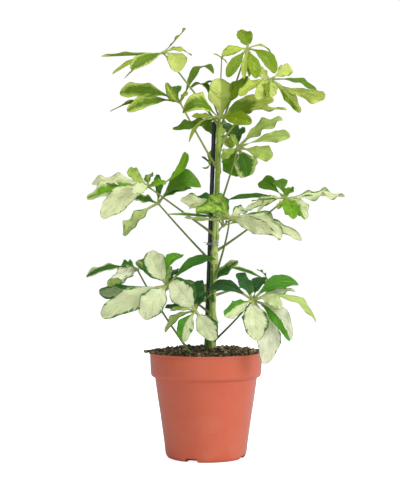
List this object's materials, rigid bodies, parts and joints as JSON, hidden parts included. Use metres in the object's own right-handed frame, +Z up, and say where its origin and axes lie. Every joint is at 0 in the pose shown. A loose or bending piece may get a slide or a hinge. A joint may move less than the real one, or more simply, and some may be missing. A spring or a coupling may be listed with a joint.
{
  "type": "potted umbrella plant",
  "caption": "Potted umbrella plant: a staked stem with fans of variegated green and cream leaflets, in a tapered terracotta-coloured plastic nursery pot with a deep lip.",
  "frame": {"origin": "centre of the pot's underside, on the ground", "axes": "+Z up, -Y towards the viewer of the plant's best side, +X to that viewer's right"},
  "size_m": [0.2742, 0.1818, 0.4623],
  "materials": {
    "pot": "moulded plastic with a soft sheen",
    "soil": "dark crumbly peat",
    "stem": "smooth green bark with tan scars",
    "stake": "dark blue-black coating, slightly glossy",
    "tie": "thin translucent band",
    "petioles": "smooth, olive green to tan",
    "young_leaves": "waxy lime yellow and green",
    "middle_leaves": "waxy lime, cream and dark green",
    "old_leaves": "waxy cream with dark green margins"
  },
  "bodies": {
    "root": {"pot": "pot", "soil": "soil", "stem": "stem", "stake": "stake", "tie": "tie", "petiole_crown_left": "petioles", "leaflets_crown_left": "young_leaves", "petiole_crown_right": "petioles", "leaflets_crown_right": "young_leaves", "petiole_shoot_tip": "petioles", "leaflets_shoot_tip": "young_leaves", "petiole_upper_right": "petioles", "leaflets_upper_right": "young_leaves", "petiole_upper_left": "petioles", "leaflets_upper_left": "young_leaves", "petiole_crown_front": "petioles", "leaflets_crown_front": "young_leaves", "petiole_upper_mid_right": "petioles", "leaflets_upper_mid_right": "middle_leaves", "petiole_mid_left": "petioles", "leaflets_mid_left": "middle_leaves", "petiole_mid_left_low": "petioles", "leaflets_mid_left_low": "middle_leaves", "petiole_mid_front": "petioles", "leaflets_mid_front": "middle_leaves", "petiole_mid_right": "petioles", "leaflets_mid_right": "middle_leaves", "petiole_mid_back": "petioles", "leaflets_mid_back": "middle_leaves", "petiole_low_left": "petioles", "leaflets_low_left": "old_leaves", "petiole_low_left_outer": "petioles", "leaflets_low_left_outer": "old_leaves", "petiole_low_front": "petioles", "leaflets_low_front": "old_leaves", "petiole_low_right": "petioles", "leaflets_low_right": "old_leaves", "petiole_low_right_back": "petioles", "leaflets_low_right_back": "old_leaves", "petiole_low_back": "petioles", "leaflets_low_back": "old_leaves", "petiole_upper_small": "petioles", "leaflets_upper_small": "middle_leaves", "petiole_upper_back": "petioles", "leaflets_upper_back": "young_leaves"}
  },
  "joints": []
}
